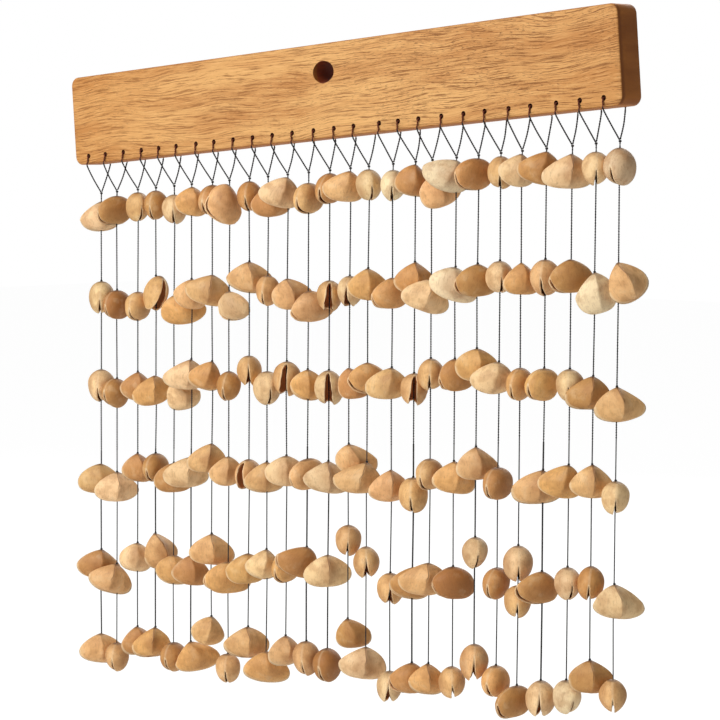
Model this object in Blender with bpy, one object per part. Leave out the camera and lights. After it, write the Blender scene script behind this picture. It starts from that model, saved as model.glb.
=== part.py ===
# Kenari chimes: a wooden bar that hangs by a hole in its middle, with 26 cords of split, hollow nut shells
# below it. Metres, +Z up. The origin is the middle of the hanger hole, X runs along the bar and its front
# faces -Y.
# A shell is a folded form: two valves closed along the top and at the ends, open in a slit along the bottom.

import math

import bmesh
import bpy
from mathutils import Matrix, Vector

bar_length = 0.480
bar_height = 0.061
bar_thickness = 0.020
bar_tilt = math.radians(5.0)  # the right end hangs higher
corner_radius = 0.006
corner_steps = 4
edge_round = 0.0015
round_profile = 0.5  # a bevel with the cross-section of a quarter circle

hanger_hole_radius = 0.007
hanger_hole_below_top = 0.0185
hanger_hole_sides = 24

string_hole_radius = 0.0013
string_hole_above_edge = 0.0055
end_holes_in = 0.01375  # the outermost string holes, from the bar's ends
string_hole_sides = 8

cord_radius = 0.0006
cord_gap = 0.0003  # between a cord and the wood, and between a loop's end and its knot
knot_radius = 0.0014
knot_half_height = 0.0011
knot_top_radius = 0.0007
knot_below_line = 0.0012
first_row_below_bar = 0.019
cords_behind_middle = 0.004
lean_over_edge = 0.25  # share of a leg's lean that it has taken where it passes the bar's edge
end_knot_radius = 0.0016
end_knot_level = 0.4  # share of the last shell's height

row_pitch = 0.062
shell_wall = 0.0018
shell_end_wall = 0.0029
shell_roof = 0.0023
slit_half_width = 0.0014
broadside = math.radians(42.0)  # the shells nest in echelon, turned this far from the bar

# Each kind of shell: length along the fold, thickness across it, height.
shell_kinds = {
    "big": (0.0310, 0.0125, 0.0205),
    "wide": (0.0270, 0.0120, 0.0200),
    "short": (0.0230, 0.0120, 0.0195),
    "round": (0.0230, 0.0140, 0.0200),
    "slim": (0.0210, 0.0155, 0.0200),
    "tall": (0.0220, 0.0170, 0.0225),
    "deep": (0.0245, 0.0130, 0.0245),
}

# A shell's skin goes through rings of eight points: its two ends, its four flanks and the middles of its
# valves. A ring's reach is a share of the half length at the ends and of the half thickness at the middles.
# Its levels are shares of the height at the ends, the flanks and the middles.
shoulder = {"long": 0.55, "thick": 0.66, "levels": (0.19, 0.15, 0.17)}
belly = {"long": 1.0, "thick": 1.0, "levels": (0.66, 0.62, 0.60)}
lips = {"long": 0.93, "levels": (0.76, 0.95, 1.0)}
hollow_levels = (0.64, 0.58)  # its ends and its middles
flank_long = 0.6  # a flank's place, as shares of its ring's reach
flank_thick = 0.58
shoulder_shift = 0.6  # the share of a shell's shift that its shoulder has

# Each strand, from the left: how far its hole is off the even spacing and its knot off its hole, in
# millimetres. Then its shells from the top row down: kind, millimetres from the row's level down to its top,
# turn from broadside in degrees, tip of its right end upwards in degrees, and millimetres from the cord's
# hole right to its middle.
strands = [
    (0, -2, [("wide", 7, 0, 8, -3), ("tall", 1, 90, 0, 0), ("tall", 1, 80, 0, 0),
             ("big", 6, 0, -5, 0), ("big", 5, 5, -8, 0), ("big", 3, 0, 0, 0)]),
    (-1, -3, [("wide", 4, 35, 0, -2), ("round", 8, 50, 0, 0), ("round", 8, 50, -8, 0),
              ("big", 12, 0, 0, 0), ("big", 15, 0, -14, -2), ("slim", 9, 75, 0, 0)]),
    (-1, 0, [("slim", 3, -70, 0, 0), ("slim", 10, 60, 0, 0), ("short", 4, 10, 0, -1),
             ("short", -1, 15, 0, 0), ("short", 0, 0, -5, 0), ("short", -3, 20, 0, 0)]),
    (-1, 0, [("slim", 3, 70, 0, 0), ("deep", 0, -75, 0, 0), ("wide", 7, 0, 0, -3),
             ("round", -1, 60, 0, 0), ("deep", -7, 25, 10, 1), ("wide", -3, 0, 0, -3)]),
    (-2, 1, [("slim", 7, 88, 0, 0), ("big", 14, 0, 12, 4), ("short", 12, 0, 10, 5),
             ("wide", 6, 0, 0, 0), ("wide", 8, 0, 0, 1), ("slim", 7, 60, 0, 0)]),
    (-3, 1, [("short", 3, 10, 0, 0), ("short", 4, 10, 0, -1), ("big", -3, 0, -5, -3),
             ("big", 2, 0, -5, -3), ("wide", 8, 5, 0, 0), ("big", 6, 0, 12, 2)]),
    (-2, 2, [("round", 3, 55, 0, 0), ("big", 2, 0, -5, -2), ("short", -1, 0, -14, -2),
             ("wide", -7, 0, -6, -2), ("big", -7, 0, 0, 0), ("short", -12, 0, -12, 0)]),
    (-3, 1, [("deep", 4, 10, -30, 4), ("short", 14, -25, 8, 2), ("slim", 6, 70, 0, 0),
             ("short", 2, 0, 0, -2), ("big", 12, 12, -5, 0), ("slim", 13, 82, 0, 0)]),
    (-3, 2, [("slim", 3, 75, 0, 0), ("big", -5, 0, 0, 0), ("slim", -4, 90, 0, 0),
             ("round", 4, 60, 0, 0), ("wide", 6, 0, 0, -2), ("big", -6, 0, 0, -1)]),
    (-3, 1, [("wide", 8, 0, 10, 0), ("slim", 5, 72, 0, 0), ("tall", 7, -75, 0, 0),
             ("wide", 6, 0, 0, -2), ("short", 3, 0, -5, -2), ("big", 10, 0, 0, 0)]),
    (-3, 1, [("wide", 3, 0, -16, -2), ("wide", 8, 0, 6, 2), ("tall", 1, 80, 0, 0),
             ("wide", 2, 0, 0, -1), ("round", 5, 50, 0, 0), ("short", -1, 20, 0, -1)]),
    (-3, 2, [("round", 8, 48, 0, 0), ("wide", 17, 10, 12, 0), ("short", 7, 0, 0, 0),
             ("wide", 4, 35, 8, -2), ("wide", 1, 15, -12, -5), ("tall", 2, 75, 0, 0)]),
    (-2, 2, [("round", 3, 58, 0, -1), ("slim", 11, 88, 0, 0), ("tall", 8, 88, 0, 0),
             ("big", 6, 0, 0, -1), ("big", 6, 0, 0, 0), ("tall", 6, 60, 0, 0)]),
    (-2, 2, [("wide", 3, 0, -8, -3), ("slim", 9, 75, 0, 1), ("short", 7, 0, 0, 4),
             ("wide", -5, 0, 5, 4), ("slim", -14, 90, 0, 0), ("short", -14, 0, 8, 2)]),
    (-3, 1, [("slim", 3, -78, 0, 0), ("wide", 5, 0, 0, 0), ("wide", 4, 15, 0, 1),
             ("big", 7, 0, -6, -5), ("slim", 0, 90, 0, -1), ("big", 4, 0, 0, -2)]),
    (1, 0, [("slim", 5, 85, 0, 1), ("short", 12, 15, 0, -2), ("wide", 8, 0, -6, -2),
            ("wide", 12, 5, 0, -1), ("slim", 17, 90, 0, -1), ("slim", 19, 85, 0, -1)]),
    (-1, 3, [("short", 3, 0, -14, 1), ("wide", 3, 0, 0, 0), ("slim", 12, 88, 0, -1),
             ("tall", 17, 80, 0, 0), ("wide", 13, 0, 0, -1), ("short", 13, 0, 0, -3)]),
    (-2, 0, [("wide", 11, 0, 12, 3), ("big", 15, 0, -16, 0), ("slim", 3, 85, 0, 1),
             ("round", 5, 55, 0, 0), ("big", 10, 0, -5, -3), ("short", 13, 0, 0, -1)]),
    (-1, 1, [("big", 3, 0, -18, -3), ("big", 8, 0, -12, 1), ("short", 4, 20, 0, 1),
             ("wide", 7, 0, 0, 0), ("wide", 12, 15, 0, 0), ("slim", 14, 90, 0, 1)]),
    (-1, 1, [("wide", 3, 30, -5, -3), ("wide", 7, 15, 0, -1), ("wide", -2, 0, 0, 0),
             ("wide", -2, 0, 0, 1), ("slim", -7, -80, 0, 0), ("tall", -1, 88, 0, -1)]),
    (-2, 2, [("slim", 3, 85, 0, 0), ("slim", 6, -85, 0, -1), ("wide", 7, 0, -8, -3),
             ("round", 11, 50, 0, 0), ("round", 12, 60, 0, -1), ("round", 12, 58, 0, 0)]),
    (-1, 0, [("short", 3, 0, -8, -2), ("short", 8, 15, 0, 0), ("round", 11, 60, 0, -1),
             ("tall", 60, 90, 0, 0), ("slim", 23, 88, 0, -1), ("wide", 24, 40, 0, -3)]),
    (-2, 2, [("wide", 3, 0, -6, -3), ("tall", 7, 72, 0, 0), ("round", 12, 40, 0, -2),
             ("big", 13, 0, -5, -3), ("wide", 14, 20, -5, -2), ("tall", 20, 82, 0, 0)]),
    (0, 2, [("big", 6, 0, -4, -2), ("wide", 8, 15, 0, 0), ("slim", 13, 82, 0, 0),
            ("wide", 10, 0, -8, -4), ("slim", 11, -78, 0, 1), ("slim", 19, -72, 0, 2)]),
    (0, 2, [("slim", 6, 88, 0, 0), ("deep", 17, 0, 16, -3), ("wide", 18, 0, -5, -2),
            ("wide", 10, 0, 0, 0), ("slim", 10, 80, 0, 0), ("wide", 6, 0, 0, 1)]),
    (0, 2, [("tall", 5, 80, 0, 0), ("deep", 12, 0, 22, 0), ("big", 25, 0, 0, 2),
            ("slim", 20, 88, 0, 1), ("big", 21, 0, 0, 3), ("slim", 17, 85, 0, 1)]),
]

millimetre = 0.001
sharp_edge = math.radians(50)
bar_top = hanger_hole_below_top
bar_bottom = bar_top - bar_height
string_hole_level = bar_bottom + string_hole_above_edge
string_hole_pitch = (bar_length - 2 * end_holes_in) / (len(strands) - 1)
along_bar = Matrix.Rotation(-bar_tilt, 4, "Y")


def make_material(name, colour, roughness):
    material = bpy.data.materials.new(name)
    material.use_nodes = True
    shader = material.node_tree.nodes["Principled BSDF"]
    shader.inputs["Base Color"].default_value = (*colour, 1.0)
    shader.inputs["Roughness"].default_value = roughness
    shader.inputs["Metallic"].default_value = 0.0
    return material


def add_object(name, data, material, parent=None):
    part = bpy.data.objects.new(name, data)
    data.materials.append(material)
    part.parent = parent
    bpy.context.collection.objects.link(part)
    return part


def hole_place(number):
    """Where string hole number is along the bar, in the bar's own frame."""
    middle = (len(strands) - 1) / 2
    return (number - middle) * string_hole_pitch + strands[number][0] * millimetre


def row_line_place(number):
    """Where a cord passes the first row's line, which runs parallel to the bar. The cord hangs plumb."""
    hole = along_bar @ Vector((hole_place(number), 0.0, string_hole_level))
    x = hole.x + strands[number][1] * millimetre
    drop = (first_row_below_bar - bar_bottom) / math.cos(bar_tilt)
    return Vector((x, cords_behind_middle, x * math.tan(bar_tilt) - drop))


def knot_place(number):
    """The knots are all on one line, about which the strands swing."""
    return row_line_place(number) - Vector((0.0, 0.0, knot_below_line))


def hang_place(number, row):
    """Where the cord goes into a shell."""
    below = row * row_pitch + strands[number][2][row][1] * millimetre
    return row_line_place(number) - Vector((0.0, 0.0, below))


def shell_angle(turn):
    return broadside + math.radians(turn)


def add_rod(bm, x, z, radius, sides):
    """A cutter's rod through the bar from front to back."""
    turn = Matrix.Translation((x, 0.0, z)) @ Matrix.Rotation(math.pi / 2, 4, "X")
    bmesh.ops.create_cone(bm, cap_ends=True, segments=sides, radius1=radius, radius2=radius,
                          depth=2 * bar_thickness, matrix=turn)


def make_bar(material, frame):
    bm = bmesh.new()
    bmesh.ops.create_cube(bm, size=1.0)
    bmesh.ops.scale(bm, vec=(bar_length, bar_thickness, bar_height), verts=bm.verts)
    bmesh.ops.translate(bm, vec=(0.0, 0.0, (bar_top + bar_bottom) / 2), verts=bm.verts)
    corners = [e for e in bm.edges if abs(e.verts[0].co.y - e.verts[1].co.y) > bar_thickness / 2]
    bmesh.ops.bevel(bm, geom=corners, offset=corner_radius, segments=corner_steps, profile=round_profile,
                    affect="EDGES", material=-1)
    rims = [e for e in bm.edges if abs(e.verts[0].co.y - e.verts[1].co.y) < bar_thickness / 2]
    bmesh.ops.bevel(bm, geom=rims, offset=edge_round, segments=2, profile=round_profile, affect="EDGES", material=-1)
    mesh = bpy.data.meshes.new("bar")
    bm.to_mesh(mesh)
    bm.free()
    bar = add_object("bar", mesh, material, frame)

    bm = bmesh.new()
    add_rod(bm, 0.0, 0.0, hanger_hole_radius, hanger_hole_sides)
    for number in range(len(strands)):
        add_rod(bm, hole_place(number), string_hole_level, string_hole_radius, string_hole_sides)
    mesh = bpy.data.meshes.new("bar_holes")
    bm.to_mesh(mesh)
    bm.free()
    cutter = add_object("bar_holes", mesh, material, frame)
    cutter.hide_render = True
    cutter.display_type = "WIRE"
    cut = bar.modifiers.new("holes", "BOOLEAN")
    cut.operation = "DIFFERENCE"
    cut.solver = "EXACT"
    cut.object = cutter


def leg_route(number, side):
    """One leg of a cord's loop, from the hole's mouth down to the knot: side is -1 in front, 1 behind."""
    hole = along_bar @ Vector((hole_place(number), 0.0, string_hole_level))
    knot = knot_place(number)
    off_face = side * (bar_thickness / 2 + cord_gap + cord_radius)
    edge = hole.z - string_hole_above_edge - cord_radius
    mouth = Vector((hole.x, off_face, hole.z - string_hole_radius + cord_radius + cord_gap))
    over_edge = Vector((hole.x + lean_over_edge * (knot.x - hole.x), off_face, edge))
    reach = (over_edge - knot).normalized() * (knot_radius + 2 * cord_gap)
    return [mouth, over_edge, knot + reach]


def make_loop(number, material):
    curve = bpy.data.curves.new(f"loop_{number + 1:02d}", "CURVE")
    curve.dimensions = "3D"
    curve.bevel_depth = cord_radius
    curve.bevel_resolution = 0
    curve.use_fill_caps = True
    route = leg_route(number, -1)[::-1] + leg_route(number, 1)
    spline = curve.splines.new("POLY")
    spline.points.add(len(route) - 1)
    for point, place in zip(spline.points, route):
        point.co = (*place, 1.0)
    add_object(curve.name, curve, material)


def ring(bm, points, matrix):
    return [bm.verts.new(matrix @ Vector(point)) for point in points]


def cord_ring(bm, centre, radius, angle=broadside):
    """Four points round the cord, the first of them turned to angle."""
    points = [(radius, 0, 0), (0, radius, 0), (-radius, 0, 0), (0, -radius, 0)]
    return ring(bm, points, Matrix.Translation(centre) @ Matrix.Rotation(angle, 4, "Z"))


def skin(bm, first, second):
    """Joins two rings by triangles: equal ones with ridges from first's even points, or four points to eight."""
    count = len(first)
    for k in range(count):
        after = (k + 1) % count
        if len(second) > count:
            bm.faces.new((first[k], second[2 * k], second[2 * k - 1]))
            bm.faces.new((first[k], second[2 * k + 1], second[2 * k]))
            bm.faces.new((first[k], first[after], second[2 * k + 1]))
        elif k % 2 == 0:
            bm.faces.new((first[k], first[after], second[after]))
            bm.faces.new((first[k], second[after], second[k]))
        else:
            bm.faces.new((first[k], first[after], second[k]))
            bm.faces.new((first[after], second[after], second[k]))


def run_down(bm, above, below, turned):
    """The cord from one ring to the next, which starts turned further round. Each point goes to the nearest."""
    start = round(-turned / (math.pi / 2)) % 4
    skin(bm, above, below[start:] + below[:start])


def oval(form, half, thick, height, shift, flank_share=flank_thick):
    """Eight points of a shell's ring: an end, a flank, the middle of a valve, and so on round it."""
    end_level, flank_level, middle_level = [-height * level for level in form["levels"]]
    long = half * form["long"]
    flank = flank_long * long
    side = flank_share * thick
    return [(shift + long, 0, end_level), (shift + flank, side, flank_level),
            (shift, thick, middle_level), (shift - flank, side, flank_level),
            (shift - long, 0, end_level), (shift - flank, -side, flank_level),
            (shift, -thick, middle_level), (shift + flank, -side, flank_level)]


def add_shell(bm, cord, kind, hang, turn, tip, shift):
    """Grows a hollow shell from the cord's ring at its top, and returns the cord's ring inside it."""
    length, thickness, height = shell_kinds[kind]
    half = length / 2
    thick = thickness / 2
    place = Matrix.Translation(hang) @ Matrix.Rotation(shell_angle(turn), 4, "Z")
    place = place @ Matrix.Rotation(-math.radians(tip), 4, "Y")
    upper = ring(bm, oval(shoulder, half, thick * shoulder["thick"], height, shoulder_shift * shift), place)
    widest = ring(bm, oval(belly, half, thick * belly["thick"], height, shift), place)
    lip = ring(bm, oval(lips, half, slit_half_width, height, shift, flank_share=1.0), place)
    end_level, middle_level = [-height * level for level in hollow_levels]
    reach = half - shell_end_wall
    depth = thick - shell_wall
    hollow = ring(bm, [(shift + reach, 0, end_level), (shift, depth, middle_level),
                       (shift - reach, 0, end_level), (shift, -depth, middle_level)], place)
    inside = cord_ring(bm, hang - Vector((0, 0, shell_roof)), cord_radius, shell_angle(turn))
    skin(bm, cord, upper)
    skin(bm, upper, widest)
    skin(bm, widest, lip)
    skin(bm, hollow, lip)
    skin(bm, hollow, inside)
    return inside


def make_strand(number, material):
    """A cord from its knot down, with its shells on it, as one closed body."""
    knot = knot_place(number)
    bm = bmesh.new()
    top = cord_ring(bm, knot + Vector((0, 0, knot_half_height)), knot_top_radius)
    bm.faces.new(top)
    middle = cord_ring(bm, knot, knot_radius)
    skin(bm, top, middle)
    cord = cord_ring(bm, knot - Vector((0, 0, knot_half_height)), cord_radius)
    skin(bm, middle, cord)
    angle = broadside
    for row, (kind, below_row, turn, tip, shift) in enumerate(strands[number][2]):
        hang = hang_place(number, row)
        above = cord
        cord = cord_ring(bm, hang, cord_radius, shell_angle(turn))
        run_down(bm, above, cord, shell_angle(turn) - angle)
        angle = shell_angle(turn)
        cord = add_shell(bm, cord, kind, hang, turn, tip, shift * millimetre)
    end = hang - Vector((0, 0, end_knot_level * shell_kinds[kind][2]))
    middle = cord_ring(bm, end, end_knot_radius, angle)
    skin(bm, cord, middle)
    bottom = cord_ring(bm, end - Vector((0, 0, end_knot_radius)), cord_radius, angle)
    skin(bm, middle, bottom)
    bm.faces.new(bottom)
    bmesh.ops.recalc_face_normals(bm, faces=bm.faces)
    if bm.calc_volume(signed=True) < 0:
        bmesh.ops.reverse_faces(bm, faces=bm.faces)
    mesh = bpy.data.meshes.new(f"strand_{number + 1:02d}")
    bm.to_mesh(mesh)
    bm.free()
    mesh.shade_smooth()
    mesh.set_sharp_from_angle(angle=sharp_edge)
    add_object(mesh.name, mesh, material)


def main():
    for old in list(bpy.data.objects):
        bpy.data.objects.remove(old)
    wood = make_material("bar_wood", (0.60, 0.33, 0.12), 0.55)
    shell = make_material("nut_shell", (0.62, 0.42, 0.22), 0.6)
    cord = make_material("dark_cord", (0.03, 0.026, 0.024), 0.85)
    frame = bpy.data.objects.new("bar_frame", None)
    frame.rotation_euler = (0.0, -bar_tilt, 0.0)
    bpy.context.collection.objects.link(frame)
    make_bar(wood, frame)
    for number in range(len(strands)):
        make_loop(number, cord)
        make_strand(number, shell)


main()
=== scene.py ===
import math
import random

import bmesh
import bpy
from mathutils import Matrix, Vector, noise


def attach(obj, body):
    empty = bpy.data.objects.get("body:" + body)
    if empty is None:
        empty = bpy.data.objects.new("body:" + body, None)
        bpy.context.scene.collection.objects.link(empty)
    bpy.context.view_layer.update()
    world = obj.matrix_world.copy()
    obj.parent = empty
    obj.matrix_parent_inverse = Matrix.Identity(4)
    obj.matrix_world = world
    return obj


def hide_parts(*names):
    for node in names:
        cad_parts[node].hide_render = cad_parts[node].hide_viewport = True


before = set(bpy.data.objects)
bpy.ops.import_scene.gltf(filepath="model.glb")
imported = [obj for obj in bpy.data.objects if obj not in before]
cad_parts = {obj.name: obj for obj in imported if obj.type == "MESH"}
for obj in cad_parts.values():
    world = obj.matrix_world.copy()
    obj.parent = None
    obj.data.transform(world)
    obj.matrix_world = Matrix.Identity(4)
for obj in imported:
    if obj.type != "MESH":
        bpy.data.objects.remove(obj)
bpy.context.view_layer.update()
mm = 0.001


# Helpers for nodes: a socket that takes Python's operators, and one call for any node.
class Socket:
    def __init__(self, tree, out):
        self.tree = tree
        self.out = out

    def math(self, operation, other=None, swap=False):
        values = [self] if other is None else ([other, self] if swap else [self, other])
        return self.node("ShaderNodeMath", {"operation": operation}, dict(enumerate(values)))

    def node(self, kind, settings=None, inputs=None, output=0):
        return addNode(self.tree, kind, settings, inputs, output)

    def __add__(self, other):
        return self.math("ADD", other)

    def __radd__(self, other):
        return self.math("ADD", other)

    def __sub__(self, other):
        return self.math("SUBTRACT", other)

    def __rsub__(self, other):
        return self.math("SUBTRACT", other, swap=True)

    def __mul__(self, other):
        return self.math("MULTIPLY", other)

    def __rmul__(self, other):
        return self.math("MULTIPLY", other)

    def within(self, low, high):
        return self.node("ShaderNodeMapRange", {"interpolation_type": "SMOOTHSTEP"},
                         {"Value": self, "From Min": low, "From Max": high})


def addNode(tree, kind, settings=None, inputs=None, output=0):
    node = tree.nodes.new(kind)
    for name, value in (settings or {}).items():
        setattr(node, name, value)
    for name, value in (inputs or {}).items():
        if isinstance(value, Socket):
            tree.links.new(value.out, node.inputs[name])
        else:
            node.inputs[name].default_value = value
    return Socket(tree, node.outputs[output])


# A colour as a screen shows it, 0 to 255, in the renderer's own values.
def linear(red, green, blue):
    return tuple(((c / 255 + 0.055) / 1.055) ** 2.4 if c > 10 else c / 3295 for c in (red, green, blue))


def noiseOf(vector, scale, detail=2.0, roughness=0.5):
    return vector.node("ShaderNodeTexNoise", {}, {"Vector": vector, "Scale": scale, "Detail": detail,
                                                  "Roughness": roughness})


# The first where the factor is 0 and the second where it is 1: sockets or plain colours.
def mixColour(factor, first, second):
    values = {0: factor}
    for slot, value in ((6, first), (7, second)):
        values[slot] = value if isinstance(value, Socket) else (*value, 1.0)
    return factor.node("ShaderNodeMix", {"data_type": "RGBA"}, values, 2)


# Lays a tint, which is its share and its colour, over a colour where the mask is 1.
def tinted(colour, mask, tint):
    share, shade = tint
    return mixColour(mask if share == 1 else mask * share, colour, linear(*shade))


def stretched(vector, scale, rotation=(0, 0, 0)):
    return vector.node("ShaderNodeMapping", {}, {"Vector": vector, "Rotation": rotation, "Scale": scale})


def newMaterial(name, display, roughness):
    material = bpy.data.materials.new(name)
    material.use_nodes = True
    material.diffuse_color = (*display, 1.0)
    shader = material.node_tree.nodes["Principled BSDF"]
    shader.inputs["Roughness"].default_value = roughness
    return material, material.node_tree, shader


def feed(tree, shader, **sockets):
    names = {"colour": "Base Color", "roughness": "Roughness", "normal": "Normal"}
    for key, socket in sockets.items():
        tree.links.new(socket.out, shader.inputs[names[key]])


def bumped(height, strength, distance):
    return height.node("ShaderNodeBump", {}, {"Height": height, "Strength": strength, "Distance": distance})


def addPiece(name, mesh, material, body):
    mesh.materials.append(material)
    piece = bpy.data.objects.new(name, mesh)
    bpy.context.collection.objects.link(piece)
    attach(piece, body)
    return piece


def meshFrom(bm, name):
    mesh = bpy.data.meshes.new(name)
    bm.to_mesh(mesh)
    bm.free()
    mesh.shade_smooth()
    return mesh


# The camera stands to the right of the chimes' front, a little below the bar, where the photo was taken.
cameraAt = {
    "azimuth": 42.17, "elevation": 4.40, "roll": 0.37,
    "distance": 1.939, "right": 0.0175, "up": -0.1865,
    "focalPixels": 2991, "framePixels": 720, "sensor": 36.0, "nearest": 0.05, "farthest": 30.0,
}


def makeCamera():
    turn, rise = math.radians(cameraAt["azimuth"]), math.radians(cameraAt["elevation"])
    back = Vector((math.sin(turn) * math.cos(rise), -math.cos(turn) * math.cos(rise), math.sin(rise)))
    level = Vector((math.cos(turn), math.sin(turn), 0.0))
    above = back.cross(level)
    facing = Matrix((level, above, back)).transposed()
    facing = facing @ Matrix.Rotation(math.radians(cameraAt["roll"]), 3, "Z")
    lens = bpy.data.cameras.new("camera")
    lens.sensor_width = cameraAt["sensor"]
    lens.lens = cameraAt["sensor"] * cameraAt["focalPixels"] / cameraAt["framePixels"]
    lens.clip_start, lens.clip_end = cameraAt["nearest"], cameraAt["farthest"]
    camera = bpy.data.objects.new("camera", lens)
    place = back * cameraAt["distance"] + facing.col[0] * cameraAt["right"] + facing.col[1] * cameraAt["up"]
    camera.matrix_world = Matrix.Translation(place) @ facing.to_4x4()
    bpy.context.collection.objects.link(camera)
    bpy.context.scene.camera = camera


makeCamera()
print("camera set")

# Sizes that the cords, the shells and the bar share, as the part has them.
bar = {
    "length": 0.480, "height": 0.061, "thickness": 0.020, "tilt": math.radians(5.0), "topAboveHole": 0.0185,
    "cornerRadius": 0.006, "cornerSteps": 8, "edgeRound": 0.0017, "edgeSteps": 4,
    "hangerRadius": 0.007, "hangerSides": 64, "holeMouth": 0.0017, "mouthSides": 20,
    "holesAboveEdge": 0.0055, "endHolesIn": 0.01375, "sharpFrom": math.radians(40),
}
firstRowBelowBar = 0.019
knotBelowLine = 0.0012
cordsBehindMiddle = 0.004
rowPitch = 0.062
broadside = math.radians(42.0)
alongBar = Matrix.Rotation(-bar["tilt"], 4, "Y")
barBottom = bar["topAboveHole"] - bar["height"]
holeLevel = barBottom + bar["holesAboveEdge"]

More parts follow.
